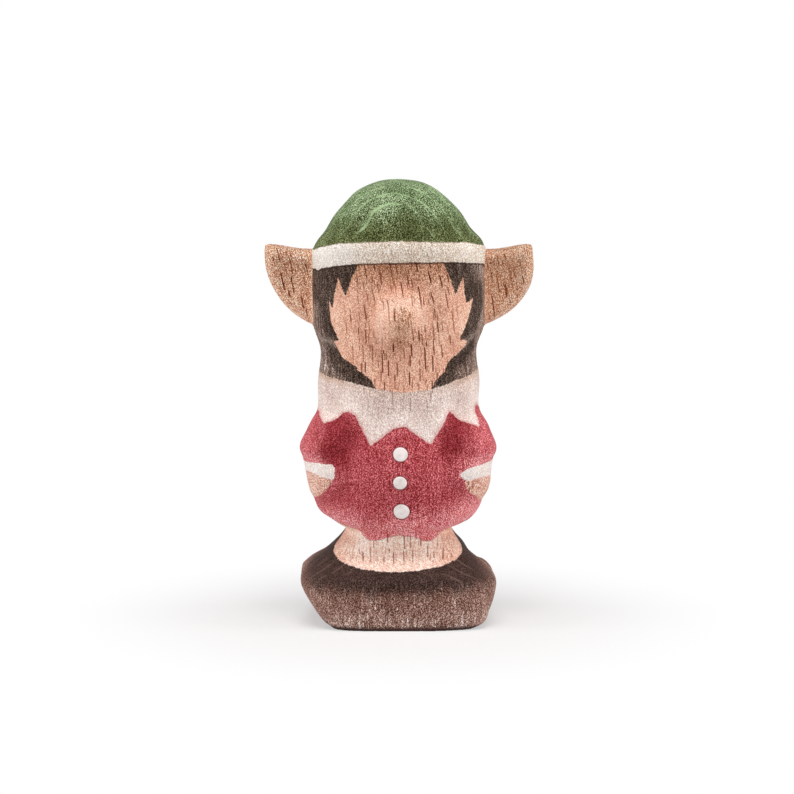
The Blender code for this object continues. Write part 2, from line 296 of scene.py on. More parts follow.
def inside(outline, places):
    crossings = np.zeros(len(places), dtype=int)
    for (x0, z0), (x1, z1) in zip(outline, outline[1:] + outline[:1]):
        spans = (z0 > places[:, 1]) != (z1 > places[:, 1])
        rise = z1 - z0 if z1 != z0 else 1e-9
        crossing = x0 + (places[:, 1] - z0) / rise * (x1 - x0)
        crossings += spans & (places[:, 0] < crossing)
    return crossings % 2 == 1


def depth_inside(outline, places):
    """How deep inside a closed outline each place lies, negative outside."""
    away = distance_to(outline + outline[:1], places)
    return np.where(inside(outline, places), away, -away)


def height_over(line, places):
    """How far above a line that runs right round each place lies."""
    round_trip = 2 * math.pi * LABEL_RADIUS
    before = [(x - round_trip, z) for x, z in line]
    after = [(x + round_trip, z) for x, z in line]
    longer = before + line + after
    sky = 200.0
    closed = longer + [(longer[-1][0], sky), (longer[0][0], sky)]
    away = distance_to(longer, places)
    return np.where(inside(closed, places), away, -away)


# %% [markdown]
# Six lines run right round the figure: the top of the shoes, the hem, the foot
# and the top of the collar, and the foot and the top of the hat band. Each
# starts at the middle of the back, comes round the figure's right side, which
# is on the left of the picture, crosses the front and goes back round.

# %% Lines right round the figure
SHOE_LINE = [(335, 545), (334.5, 552), (338, 559), (349, 566), (366, 570),
             (393, 572.5), (418, 570.5), (441, 566), (454.5, 561), (461.5, 552),
             (461, 545)]
HEM_LINE = [(333, 521), (338, 522), (350, 527), (357.5, 529.5), (363, 535.5),
            (368.5, 540), (375.5, 540.5), (385.5, 538), (399.5, 535), (413.5, 536.5),
            (423.5, 540.5), (430.5, 540.5), (436, 536.5), (441, 531.5), (448.5, 528),
            (458.5, 524.5), (465, 520.5)]
COLLAR_FOOT = [(321, 412), (323.5, 423), (342.5, 413), (350, 411.8), (356, 416),
               (370.5, 446), (394, 428.5), (405.5, 427), (431, 445), (450, 411),
               (478.5, 427.5), (475.5, 404)]
COLLAR_TOP = [(321, 373), (331.5, 377), (353, 383), (374, 388.5), (403, 393),
              (431.5, 389.5), (453, 381.5), (475, 370)]
BAND_FOOT = [(315, 268.5), (318, 270), (322, 268), (338.5, 265.5), (358, 263.5),
             (403, 262.7), (438.5, 262), (456.5, 262), (481.5, 263)]
BAND_TOP = [(315, 249.5), (321, 247), (340.5, 243.5), (367, 242.3), (403, 241.3),
            (438.5, 242.3), (465.5, 242), (479.5, 244.8), (483, 247)]


def painted_line(before, seen, after):
    """Places behind as angles and heights, places seen as pixels, places behind again."""
    return ([behind(*place) for place in before] + seen_outline(seen)
            + [behind(*place) for place in after])


lines = {
    "shoes": painted_line([(-180, 10.3), (-152, 11.0), (-134, 12.6), (-120, 14.8),
                           (-107, 16.3), (-95, 16.4)], SHOE_LINE,
                          [(95, 16.2), (107, 16.2), (120, 14.6), (134, 12.4),
                           (152, 11.0), (180, 10.3)]),
    "hem": painted_line([(-180, 15.4), (-165, 15.0), (-148, 15.3), (-125, 16.4),
                         (-105, 16.6)], HEM_LINE,
                        [(105, 16.6), (127, 16.3), (146, 15.1), (164, 15.2), (180, 15.4)]),
    "collar_foot": painted_line([(-180, 35.6), (-160, 32.4), (-136, 36.4), (-113, 33.6),
                                 (-96, 36.6)], COLLAR_FOOT,
                                [(115, 33.8), (137, 36.2), (158, 32.0), (180, 35.6)]),
    "collar_top": painted_line([(-180, 43.6), (-140, 43.5), (-105, 43.0)], COLLAR_TOP,
                               [(105, 43.2), (140, 43.6), (180, 43.6)]),
    "band_foot": painted_line([(-180, 57.7), (-140, 58.2), (-105, 59.6)], BAND_FOOT,
                              [(105, 59.8), (140, 58.3), (180, 57.7)]),
    "band_top": painted_line([(-180, 61.1), (-140, 61.7), (-105, 63.0)], BAND_TOP,
                             [(105, 63.2), (140, 61.8), (180, 61.1)]),
}
for name, line in lines.items():
    heights = [round(z, 1) for _, z in line]
    print(f"{name:12s} {min(heights)} to {max(heights)} mm up")

# %% [markdown]
# Closed outlines hold the rest: the bare face between the painted strands of
# hair, and on each arm a white cuff with a bare hand below it. The ears are
# bare too, and they are simply everything that stands out past the head. Open
# lines follow the valleys that a gouge cut between the arms and the belly, the
# flanks of the belly that stayed fuller, the creases under the jaw, and the tip
# and the rim of the nose, where painted shade and a painted highlight go.

# %% Closed outlines
FACE_LEFT = [(357, 255), (357.5, 265.5), (352, 277), (345.5, 298), (342, 287),
             (338.5, 277), (334.5, 294), (332.3, 309), (328.8, 301), (331.5, 322.5),
             (339, 340.5), (334, 341.3), (341.5, 356.5), (352, 364), (358.5, 368.5),
             (357, 369.5), (370, 379), (376.5, 389), (379, 398)]
FACE_RIGHT = [(429, 398), (432.3, 388.5), (436, 379.5), (445, 371.5), (447.5, 362.5),
              (465.5, 345.5), (467, 340.5), (459, 339.5), (470, 312), (473.5, 297.5),
              (466.3, 303), (462.7, 277), (455.5, 294), (449, 277), (444, 263),
              (443, 255)]
CUFF_LEFT = [(307, 462), (318, 463), (332, 464.5), (335.5, 468.5), (335, 477),
             (333, 479.5), (323.5, 477), (314, 473.5), (307.5, 471.5)]
CUFF_RIGHT = [(489, 475.5), (482, 477), (468, 480.3), (463.3, 479), (460.5, 474),
              (462.5, 471), (471, 467.5), (482, 464), (490, 461)]
HAND_LEFT = [(307.5, 471), (314, 473.5), (323.5, 477), (332.5, 479.5), (330.7, 484.5),
             (327, 489.5), (320, 495), (315.5, 497)]
HAND_RIGHT = [(482, 500), (478, 499), (469, 492), (465.5, 486.5), (464.5, 479.5),
              (482, 477), (489, 475.5)]

VALLEY_LEFT = [(334, 404), (336, 420), (336.5, 440), (339, 458)]
VALLEY_RIGHT = [(458, 404), (457, 420), (455, 436), (453, 448)]
FULLER_LEFT = [(349, 418), (350.5, 440), (349, 462), (347, 478)]
FULLER_RIGHT = [(449, 425), (450, 445), (452, 462), (454, 478)]
NOSE_TIP = [(405, 317), (404, 328), (401, 340)]
NOSE_RIM = [(379.5, 338), (378.5, 322), (384, 309), (396, 301), (410, 303), (421, 311),
            (424.5, 323)]
CREASE_LEFT = [(319, 337), (326, 340), (335, 344.5)]
CREASE_RIGHT = [(479, 330.5), (472, 335.5), (464, 343.5), (456, 351)]

face = seen_outline(FACE_LEFT + FACE_RIGHT)
right_cuff = painted_line([], CUFF_LEFT, [(-114, 24.6), (-120, 25.0), (-122, 26.2), (-119, 27.3)])
left_cuff = painted_line([], CUFF_RIGHT, [(119, 27.5), (122, 26.4), (120, 25.2), (114, 24.8)])
right_hand = painted_line([], HAND_LEFT, [(-104, 22.4), (-116, 25.2)])
left_hand = painted_line([], HAND_RIGHT, [(116, 25.4), (104, 22.0)])
open_lines = {"valley": (VALLEY_LEFT, VALLEY_RIGHT), "fuller": (FULLER_LEFT, FULLER_RIGHT),
              "crease": (CREASE_LEFT, CREASE_RIGHT), "nose_tip": (NOSE_TIP,),
              "nose_rim": (NOSE_RIM,)}
print("face outline:", len(face), "places")

# %% [markdown]
# Now every point of the net gets, for each outline, how deep inside it lies in
# millimetres. These numbers are stored on the mesh as attributes. A material
# can read them between the points too, so a painted edge stays sharper than
# the net itself, and the material is free to make it waver.

# %% Depths as attributes
EAR_ROOT = 14.45
EAR_FOOT = 48.0
EAR_TOP = 66.0
NO_EAR = -5.0
BUTTONS = [(400.5, 454.5, 1.2), (400, 483, 1.12), (401.5, 511.5, 1.3)]

label = on_label(points)
button_points = [seen_point(x, y) for x, y, _ in BUTTONS]
at_ear = (points[:, 2] > EAR_FOOT) & (points[:, 2] < EAR_TOP)
depths = {"over_" + name: height_over(line, label) for name, line in lines.items()}
depths |= {
    "face_depth": np.minimum(depth_inside(face, label), depths["over_collar_top"]),
    "cuff_depth": np.maximum(depth_inside(right_cuff, label), depth_inside(left_cuff, label)),
    "hand_depth": np.maximum(depth_inside(right_hand, label), depth_inside(left_hand, label)),
    "ear_depth": np.where(at_ear, np.abs(points[:, 0]) - EAR_ROOT, NO_EAR),
    "button_depth": np.max([radius - np.linalg.norm(points - place, axis=1)
                            for place, (_, _, radius) in zip(button_points, BUTTONS)], axis=0),
}
for name, stretches in open_lines.items():
    depths[name] = np.min([distance_to(seen_outline(pixels), label) for pixels in stretches],
                          axis=0)
for name, depth in depths.items():
    print(f"{name:18s} {100 * np.mean(depth > 0):5.1f} % of the points inside")

# %% [markdown]
# ## Fine form
#
# With the outlines known, the form can follow them. The hat band stands proud
# of the hat and the forehead, and the white paint of cuffs and collar is thick
# enough to feel. A gouge deepened the valleys beside the arms, and the belly next
# to them stayed a little fuller. The knife and the sandpaper also left broad,
# shallow unevenness, and a few places where this figure differs from its own
# mirror image: each has a centre, a reach along each axis and a push, all in
# millimetres. Nothing here moves as much as two millimetres.

# %% Sculpt the fine form
BAND_STEP = 0.14
PAINT_STEP = 0.05
VALLEY_DEPTH = 0.45
VALLEY_REACH = 1.5
FULLER_RISE = 0.45
FULLER_REACH = 1.6
WAVE_HEIGHT = 0.07
WAVE_LENGTH = 7.0
STEP_SOFTNESS = 0.3
PUSHES = {
    "right shoe corner": ((-15.8, -3.0, 1.5), (9.0, 16.0, 5.8), (1.6, 0.0, 0.1)),
    "left shoe corner": ((12.5, -9.5, 0.0), (5.0, 5.0, 5.0), (1.1, -0.3, 0.0)),
    "left instep": ((15.2, 4.0, 10.2), (7.0, 16.0, 4.5), (-1.5, 0.0, 0.0)),
    "right hem": ((-11.4, 0.0, 17.0), (3.0, 12.0, 2.5), (0.9, 0.0, 0.2)),
    "left elbow": ((16.3, 0.0, 27.0), (4.0, 12.0, 3.5), (-0.7, 0.0, 0.0)),
    "right elbow": ((-16.3, 0.0, 27.0), (4.0, 12.0, 3.5), (0.4, 0.0, 0.0)),
    "left shoulder": ((14.5, 0.0, 35.0), (4.0, 12.0, 3.5), (0.45, 0.0, 0.0)),
    "right shoulder": ((-14.5, 0.0, 35.0), (4.0, 12.0, 3.5), (-0.45, 0.0, 0.0)),
    "left ear": ((21.0, 1.0, 55.0), (9.0, 9.0, 9.0), (0.75, 0.0, 0.0)),
    "right ear": ((-22.0, 1.0, 54.0), (8.0, 8.0, 8.0), (0.3, 0.0, 0.0)),
    "left end of the band": ((14.0, 0.0, 65.0), (3.5, 12.0, 3.0), (0.5, 0.0, 0.0)),
    "forehead": ((0.3, -11.0, 58.4), (5.5, 5.5, 5.5), (0.0, 0.7, 0.0)),
    "tip of the nose": ((0.4, -13.5, 52.0), (4.2, 4.2, 4.2), (0.0, -0.5, 0.0)),
}


def rise_over(depth):
    """A smooth step from 0 outside an outline to 1 inside."""
    share = np.clip(depth / STEP_SOFTNESS + 0.5, 0.0, 1.0)
    return share * share * (3 - 2 * share)


def slow_waves(places, length):
    """Broad unevenness: a few crossed waves with fixed directions."""
    generator = np.random.default_rng(7)
    total = np.zeros(len(places))
    for _ in range(9):
        direction = generator.normal(size=3)
        direction /= np.linalg.norm(direction)
        turn = generator.uniform(0, 2 * math.pi)
        stretch = generator.uniform(0.7, 1.5)
        total += np.sin(places @ direction * 2 * math.pi / (length * stretch) + turn)
    return total / 3.0


def local_push(places, centre, reach, move):
    """Move the points near a centre, fading out at a reach along each axis."""
    away = (places - np.array(centre)) / np.array(reach)
    share = np.clip(1 - np.sum(away ** 2, axis=1), 0.0, 1.0)
    return share[:, None] ** 2 * np.array(move)


band = np.minimum(depths["over_band_foot"], -depths["over_band_top"])
band = np.minimum(band, -depths["ear_depth"])
white = np.maximum(depths["cuff_depth"],
                   np.minimum(depths["over_collar_foot"], -depths["over_collar_top"]))
normals = read_vectors(mesh, "normal")
lift = BAND_STEP * rise_over(band) + PAINT_STEP * rise_over(white)
lift += WAVE_HEIGHT * slow_waves(points, WAVE_LENGTH) * np.clip(points[:, 2] / 4, 0, 1)
lift -= VALLEY_DEPTH * np.exp(-(depths["valley"] / VALLEY_REACH) ** 2)
lift += FULLER_RISE * np.exp(-(depths["fuller"] / FULLER_REACH) ** 2)
points = points + lift[:, None] * normals
for centre, reach, push in PUSHES.values():
    points = points + local_push(points, centre, reach, push)
points[:, 2] = np.maximum(points[:, 2], 0.0)
points[on_sole, 2] = 0.0
write_points(mesh, points)
print("box now in mm:", points.min(0).round(2), points.max(0).round(2))

# %% [markdown]
# Stain is wiped on and off, so it stays thin on ridges and gathers in hollows.
# Where a point stands above the smoothed surface it is on a ridge, and where
# it lies below it is in a hollow. That difference is stored as well.

# %% Ridges and hollows
HOLLOW_ROUNDS = 120
RIDGE_ROUNDS = 6

smoothed = relax(points, HOLLOW_ROUNDS)
ridge = np.sum((points - smoothed) * read_vectors(mesh, "normal"), axis=1)
depths["ridge"] = relax(ridge, RIDGE_ROUNDS)
print("ridge height in mm:", depths["ridge"].min().round(2), depths["ridge"].max().round(2))

for name, depth in depths.items():
    attribute = mesh.attributes.new(name, "FLOAT", "POINT")
    attribute.data.foreach_set("value", depth.astype(np.float32))
mesh.shade_smooth()

# %% [markdown]
# ## Buttons
#
# The three buttons are drops of white paint, each set down with the end of a
# stick, so they stand up like low domes. They repeat, so Geometry Nodes make
# them: one dome on each marked point, turned to face out of the surface. The
# points and their sizes are the tree's input, and the height of a dome is a
# named value. Drawing them in the material alone would leave them flat from
# the side.

# %% Two small helpers for node trees
def fill_inputs(tree, node, inputs):
    """Link a socket where one is given, and otherwise set the value."""
    for key, value in inputs.items():
        socket = node.inputs[key]
        if isinstance(value, bpy.types.NodeSocket):
            tree.links.new(value, socket)
        else:
            socket.default_value = value


def link_nodes(tree, kind, inputs=None, **settings):
    """Add a node, set its settings and inputs, and return it."""
    node = tree.nodes.new(kind)
    for name, value in settings.items():
        setattr(node, name, value)
    fill_inputs(tree, node, inputs or {})
    return node


# %% Button tree
def button_tree(material):
    tree = bpy.data.node_groups.new("paint_drops", "GeometryNodeTree")
    for name, way, kind in (("Points", "INPUT", "Geometry"), ("Height", "INPUT", "Float"),
                            ("Unevenness", "INPUT", "Float"), ("Drops", "OUTPUT", "Geometry")):
        tree.interface.new_socket(name, in_out=way, socket_type="NodeSocket" + kind)
    entry = tree.nodes.new("NodeGroupInput").outputs
    way_out = tree.nodes.new("NodeGroupOutput")

    def add(kind, inputs, **settings):
        return link_nodes(tree, kind, inputs, **settings).outputs

    dome = add("GeometryNodeMeshUVSphere", {"Segments": 32, "Rings": 16, "Radius": 1.0})
    wobble = add("ShaderNodeTexNoise", {"Scale": 1.1, "Detail": 1.0, "W": 3.0},
                 noise_dimensions="4D")
    centred = add("ShaderNodeVectorMath", {0: wobble["Color"], 1: (0.5, 0.5, 0.5)},
                  operation="SUBTRACT")
    offset = add("ShaderNodeVectorMath", {0: centred[0], "Scale": entry["Unevenness"]},
                 operation="SCALE")
    uneven = add("GeometryNodeSetPosition", {"Geometry": dome["Mesh"], "Offset": offset[0]})
    radius = add("GeometryNodeInputNamedAttribute", {"Name": "drop_radius"},
                 data_type="FLOAT")["Attribute"]
    normal = add("GeometryNodeInputNamedAttribute", {"Name": "drop_normal"},
                 data_type="FLOAT_VECTOR")["Attribute"]
    turned = add("FunctionNodeAlignRotationToVector", {"Vector": normal}, axis="Z")
    size = add("ShaderNodeCombineXYZ", {"X": radius, "Y": radius, "Z": entry["Height"]})
    copies = add("GeometryNodeInstanceOnPoints",
                 {"Points": entry["Points"], "Instance": uneven["Geometry"],
                  "Rotation": turned["Rotation"], "Scale": size["Vector"]})
    real = add("GeometryNodeRealizeInstances", {"Geometry": copies["Instances"]})
    smooth = add("GeometryNodeSetShadeSmooth", {"Geometry": real["Geometry"]})
    painted = add("GeometryNodeSetMaterial", {"Geometry": smooth["Geometry"],
                                              "Material": material})
    tree.links.new(painted["Geometry"], way_out.inputs["Drops"])
    return tree


# %% [markdown]
# ## The wood
#
# Beech has three marks that make it look like beech. Growth rings are broad and
# faint. Fine fibres run up the figure, a shade lighter or darker. And the rays,
# thin sheets that run out from the middle of the tree, show end on as short
# dark dashes. The middle of the tree lay some way in front of the figure, so
# the dashes face the viewer, and on top of the hat the rings show as arches.
#
# So the pattern is laid out from the tree's own axis: how far round the tree,
# how far out from its middle, and how high. On the head the fibres also lean a
# little, more the higher up, as they do on the real one.

# %% Shader helpers
def srgb(red, green, blue):
    """A colour as a screen shows it, turned into the light it stands for."""
    def linear(value):
        share = value / 255
        return share / 12.92 if share <= 0.04045 else ((share + 0.055) / 1.055) ** 2.4
    return (linear(red), linear(green), linear(blue), 1.0)


class ShaderTree:
    """Short names for the nodes that the materials below are built from."""

    def __init__(self, name):
        self.material = bpy.data.materials.new(name)
        self.material.use_nodes = True
        self.tree = self.material.node_tree
        self.shader = self.tree.nodes["Principled BSDF"]
        self.marks = {}

    def add(self, kind, inputs=None, **settings):
        return link_nodes(self.tree, kind, inputs, **settings)

    def math(self, operation, first, second=0.0, third=0.0):
        node = self.add("ShaderNodeMath", {0: first, 1: second, 2: third},
                        operation=operation)
        return node.outputs[0]

    def times(self, first, second):
        return self.math("MULTIPLY", first, second)

    def times_plus(self, first, second, third):
        return self.math("MULTIPLY_ADD", first, second, third)

    def noise(self, vector, scale, detail=3.0, roughness=0.55):
        node = self.add("ShaderNodeTexNoise", {"Vector": vector, "Scale": scale,
                                               "Detail": detail, "Roughness": roughness})
        return node.outputs["Fac"]

    def ramp(self, value, low, high, out_low=0.0, out_high=1.0):
        node = self.add("ShaderNodeMapRange",
                        {"Value": value, "From Min": low, "From Max": high,
                         "To Min": out_low, "To Max": out_high},
                        interpolation_type="SMOOTHSTEP")
        return node.outputs["Result"]

    def mix(self, share, first, second):
        return self.add("ShaderNodeMix", {0: share, 6: first, 7: second},
                        data_type="RGBA").outputs[2]

    def attribute(self, name):
        return self.add("ShaderNodeAttribute", attribute_name=name).outputs["Fac"]

    def vector(self, x, y, z):
        return self.add("ShaderNodeCombineXYZ", {0: x, 1: y, 2: z}).outputs[0]

    def place(self):
        return self.add("ShaderNodeTexCoord").outputs["Object"]

    def across(self):
        """Millimetres from the middle of the figure, positive to its own left."""
        across = self.add("ShaderNodeSeparateXYZ", {0: self.place()}).outputs[0]
        return self.times(across, 1 / MM)

    def near(self, name, share, mark="clouds"):
        """A stored depth, made uneven by one of the marks of the wood."""
        return self.times_plus(self.marks[mark], share, self.attribute(name))

    def finish(self, inputs):
        """Set the main shader's inputs and hand back the material."""
        fill_inputs(self.tree, self.shader, inputs)
        return self.material


# %% [markdown]
# The rays are drawn with a Voronoi texture. It scatters one point in each cell
# of a grid, and hands back where that point is. How far away the point lies
# round the tree, out from its middle and up the trunk gives a thin blade of any
# size, as a ray is in the wood, and the cell's own random colour makes each one
# different. Where the surface cuts a blade across, it shows as a dash. Where
# the surface runs along a blade, it shows as a faint lens.

# %% Tree position and ray blades
TREE_ACROSS = 2.0
TREE_FORWARD = 33.0
LEAN_FROM = 42.0
LEAN_GROWTH = 0.006


def tree_position(shade):
    """Round the tree, out from its middle, up, and how far a face looks round it."""
    split = shade.add("ShaderNodeSeparateXYZ", {0: shade.place()}).outputs
    x, y, z = (shade.times(value, 1 / MM) for value in split)
    above = shade.math("MAXIMUM", shade.math("SUBTRACT", z, LEAN_FROM), 0.0)
    lean = shade.times(shade.times(above, above), LEAN_GROWTH)
    across = shade.math("SUBTRACT", shade.math("ADD", x, lean), TREE_ACROSS)
    ahead = shade.math("ADD", y, TREE_FORWARD)
    out = shade.math("SQRT", shade.math("ADD", shade.times(across, across),
                                        shade.times(ahead, ahead)))
    around = shade.times(shade.math("ARCTAN2", across, ahead), out)
    normal = shade.add("ShaderNodeNewGeometry").outputs["Normal"]
    round_way = shade.vector(shade.math("DIVIDE", ahead, out),
                             shade.math("DIVIDE", shade.times(across, -1.0), out), 0.0)
    facing = shade.add("ShaderNodeVectorMath", {0: normal, 1: round_way},
                       operation="DOT_PRODUCT").outputs["Value"]
    end_grain = shade.math("ABSOLUTE", shade.add("ShaderNodeSeparateXYZ", {0: normal}).outputs[2])
    return around, out, z, shade.math("ABSOLUTE", facing), end_grain


def ray_blades(shade, around, out, up, cell, width, length, depth):
    """Thin upright blades: 1 on a blade and 0 off it."""
    cell_around, cell_out, cell_up = cell
    place = shade.vector(shade.math("DIVIDE", around, cell_around),
                         shade.math("DIVIDE", out, cell_out), shade.math("DIVIDE", up, cell_up))
    cells = shade.add("ShaderNodeTexVoronoi", {"Vector": place, "Scale": 1.0, "Randomness": 1.0})
    centre = cells.outputs["Position"]
    chance = shade.add("ShaderNodeSeparateColor", {0: cells.outputs["Color"]}).outputs
    away = shade.add("ShaderNodeVectorMath", {0: place, 1: centre}, operation="SUBTRACT")
    split = shade.add("ShaderNodeSeparateXYZ", {0: away.outputs[0]}).outputs
    aside = shade.times(shade.math("ABSOLUTE", split[0]), cell_around)
    outward = shade.math("DIVIDE", split[1], depth / 2 / cell_out)
    half_length = shade.times_plus(chance[0], 0.7 * length / 2, 0.3 * length / 2)
    along = shade.math("DIVIDE", shade.times(split[2], cell_up), half_length)
    reach = shade.times_plus(along, along, shade.times(outward, outward))
    taper = shade.math("MAXIMUM", shade.math("SUBTRACT", 1.0, reach), 0.0)
    half_width = shade.ramp(taper, 0.0, 0.35, 0.0, width / 2)
    blade = shade.ramp(shade.math("SUBTRACT", half_width, aside), -0.03, 0.02)
    return shade.times(blade, shade.ramp(chance[1], 0.1, 0.7, 0.4, 1.0))


# %% [markdown]
# Six marks make the wood: long and short ray dashes, upright fibres, growth
# rings, fine grain and slow clouds of tone. Each runs from -1 to 1 or from 0 to
# 1, so that every paint can take as much of it as it needs. The height above
# the sole goes with them. Rings show where the end of the grain faces out, on
# the hat and on top of the shoes.

# %% Marks of the wood
LONG_RAYS = {"cell": (1.8, 5.0, 3.1), "width": 0.23, "length": 4.4, "depth": 12.0}
SHORT_RAYS = {"cell": (1.4, 4.0, 2.0), "width": 0.17, "length": 1.6, "depth": 10.0}
RING_WIDTH = 2.1
FIBRE_FINENESS = 2.4
FIBRE_STRETCH = 0.1
GRAIN_FINENESS = 6.5
GRAIN_CONTRAST = 9.0
CLOUD_FINENESS = 0.28


def wood_marks(shade):
    around, out, up, facing, end_grain = tree_position(shade)
    bend = shade.noise(shade.vector(around, out, shade.times(up, 0.4)), 0.08, 2.0)
    around = shade.times_plus(bend, 1.6, around)
    cut = shade.times(shade.ramp(facing, 0.5, 0.85, 1.0, 0.0),
                      shade.ramp(end_grain, 0.5, 0.8, 1.0, 0.0))
    long_rays = shade.times(cut, ray_blades(shade, around, out, up, **LONG_RAYS))
    short_rays = shade.times(cut, ray_blades(shade, around, out, up, **SHORT_RAYS))
    fibre_place = shade.vector(around, out, shade.times(up, FIBRE_STRETCH))
    fibres = shade.ramp(shade.noise(fibre_place, FIBRE_FINENESS, 4.0, 0.6), 0.3, 0.7, -1.0, 1.0)
    grain_place = shade.vector(around, out, shade.times(up, 0.75))
    speck = shade.noise(grain_place, GRAIN_FINENESS, 1.0, 0.6)
    speck = shade.times_plus(speck, GRAIN_CONTRAST, -0.5 * GRAIN_CONTRAST)
    grain = shade.math("MAXIMUM", shade.math("MINIMUM", speck, 1.0), -1.0)
    cloud_place = shade.vector(around, out, shade.times(up, 0.6))
    clouds = shade.ramp(shade.noise(cloud_place, CLOUD_FINENESS, 3.0), 0.3, 0.7, -1.0, 1.0)
    wave = shade.noise(shade.vector(around, out, shade.times(up, 0.25)), 0.16, 2.0)
    ring_place = shade.math("DIVIDE", shade.times_plus(wave, 1.4, out), RING_WIDTH)
    from_ring = shade.math("SUBTRACT", shade.math("FRACT", ring_place), 0.5)
    from_middle = shade.math("ABSOLUTE", from_ring)
    worn_through = shade.ramp(shade.times_plus(grain, 0.4, clouds), -1.2, 0.3)
    rings = shade.times(shade.ramp(from_middle, 0.38, 0.46), shade.ramp(end_grain, 0.15, 0.5))
    rings = shade.times(rings, shade.ramp(facing, 0.4, 0.75, 1.0, 0.3))
    rings = shade.times(rings, worn_through)
    return {"long": long_rays, "short": short_rays, "fibres": fibres, "rings": rings,
            "grain": grain, "clouds": clouds, "up": up}


# %% [markdown]
# Light goes through a stain and back, so a thick place isn't only darker: it is
# deeper in colour too, and a thin one is paler. That is a power of the colour,
# and the power is the thickness. The pores of the grain hold different amounts,
# the ridges that were stored on the mesh hold less and the hollows more, and the
# sandpaper took a little off the ridges too. A ray is denser than the wood round
# it, so on bare wood it counts as thick, and under a dark stain it stays lighter
# and counts as thin. So one recipe makes the bare wood and every paint: a colour,
# and how much each mark thins it.

# %% One recipe for wood and paint
LIGHTEST = 0.96
THINNEST = 0.9
SHORT_RAY_SHARE = 0.45


def layer(shade, colour, grain=0.4, fibres=0.05, clouds=0.05, pool=0.05, rays=-1.1):
    """One colour with the marks of the wood in it, thin above 0 and thick below."""
    shares = {"grain": grain, "fibres": fibres, "clouds": clouds, "pool": pool,
              "short": SHORT_RAY_SHARE * rays, "long": rays}
    thin = 0.0
    for mark, share in shares.items():
        thin = shade.times_plus(shade.marks[mark], share, thin)
    thin = shade.math("MINIMUM", thin, THINNEST)
    power = shade.math("SUBTRACT", 1.0, thin)
    through = shade.add("ShaderNodeGamma", {0: srgb(*colour), 1: power}).outputs[0]
    lit = shade.add("ShaderNodeVectorMath", {0: through, "Scale": shade.math("EXPONENT", thin)},
                    operation="SCALE").outputs[0]
    return shade.add("ShaderNodeVectorMath", {0: lit, 1: (LIGHTEST,) * 3},
                     operation="MINIMUM").outputs[0]


def paint_mask(shade, name, waver, softness=0.07, shift=0.0):
    """1 where a paint covers the wood and 0 where it doesn't."""
    depth = shade.math("ADD", shade.math("ADD", shade.attribute(name), waver), shift)
    return shade.ramp(depth, -softness, softness)


def edge_waver(shade):
    """The small wandering of a hand-painted edge, in millimetres."""
    place = shade.place()
    slow = shade.noise(place, 0.7 / MM, 2.0)
    quick = shade.noise(place, 3.0 / MM, 2.0)
    waver = shade.times_plus(slow, 0.4, -0.2)
    waver = shade.times_plus(quick, 0.36, waver)
    return shade.math("ADD", waver, -0.18)


# %% [markdown]
# Each finish is a short function, so that its colours and habits stand in one
# place. Bare beech is warm, with dark ray dashes. The shoes are a brown stain
# that is nearly black next to the legs, and there the rays stay lighter than
# the stain. The tunic is red, and the hat a green that turns darker and browner
# down to the band.

# %% Bare wood, shoes, tunic and hat
def bare_wood(shade):
    """Beech as it left the knife, with painted shade under the band and at the nose, and a
    painted highlight.
    """
    open_wood = layer(shade, (229, 172, 147), grain=0.3, fibres=0.06, pool=0.07, rays=-1.1)
    # The second colour is painted shade: under the band, at the tip of the nose and in a ring
    # round it.
    shaded_wood = layer(shade, (183, 130, 101), grain=0.38, rays=-0.95)
    height = shade.near("over_band_foot", 0.8)
    at_tip = shade.ramp(shade.attribute("nose_tip"), 0.3, 2.7, 0.95, 0.0)
    from_rim = shade.attribute("nose_rim")
    shade_round_nose = shade.times(shade.ramp(from_rim, 1.4, 2.4),
                             shade.ramp(from_rim, 3.0, 5.0, 0.35, 0.0))
    browner = shade.math("MAXIMUM", shade.ramp(height, -6.5, -1.5), at_tip)
    browner = shade.math("MAXIMUM", browner, shade_round_nose)
    colour = shade.mix(browner, open_wood, shaded_wood)
    # A painted highlight on the rim of the nose.
    painted_highlight = shade.ramp(from_rim, 0.2, 1.7, 0.24, 0.0)
    painted_highlight = shade.times(painted_highlight, shade.math("SUBTRACT", 1.0, at_tip))
    return shade.mix(painted_highlight, colour, srgb(232, 200, 184))


def ear_wood(shade):
    """The ears have soaked up more at the top, and the left one more than the right."""
    top = layer(shade, (203, 143, 112), grain=0.52, rays=-1.0)
    lobe = layer(shade, (222, 160, 131), grain=0.46)
    colour = shade.mix(shade.ramp(shade.marks["up"], 50.0, 58.0), lobe, top)
    soaked = shade.ramp(shade.across(), 0.0, 2.0, 0.0, 0.2)
    return shade.mix(soaked, colour, srgb(148, 90, 46))


def leg_wood(shade):
    # The middle of the legs is painted lighter than the sides: painted light where the tunic's
    # shadow falls.
    front = layer(shade, (255, 214, 198), grain=0.3, fibres=0.16, rays=-0.95)
    side = layer(shade, (236, 184, 163), grain=0.3, fibres=0.16)
    aside = shade.math("ABSOLUTE", shade.math("ADD", shade.across(), 1.0))
    return shade.mix(shade.ramp(aside, 5.0, 9.5), front, side)


def hand_wood(shade):
    return layer(shade, (218, 154, 134), grain=0.44, fibres=0.12)


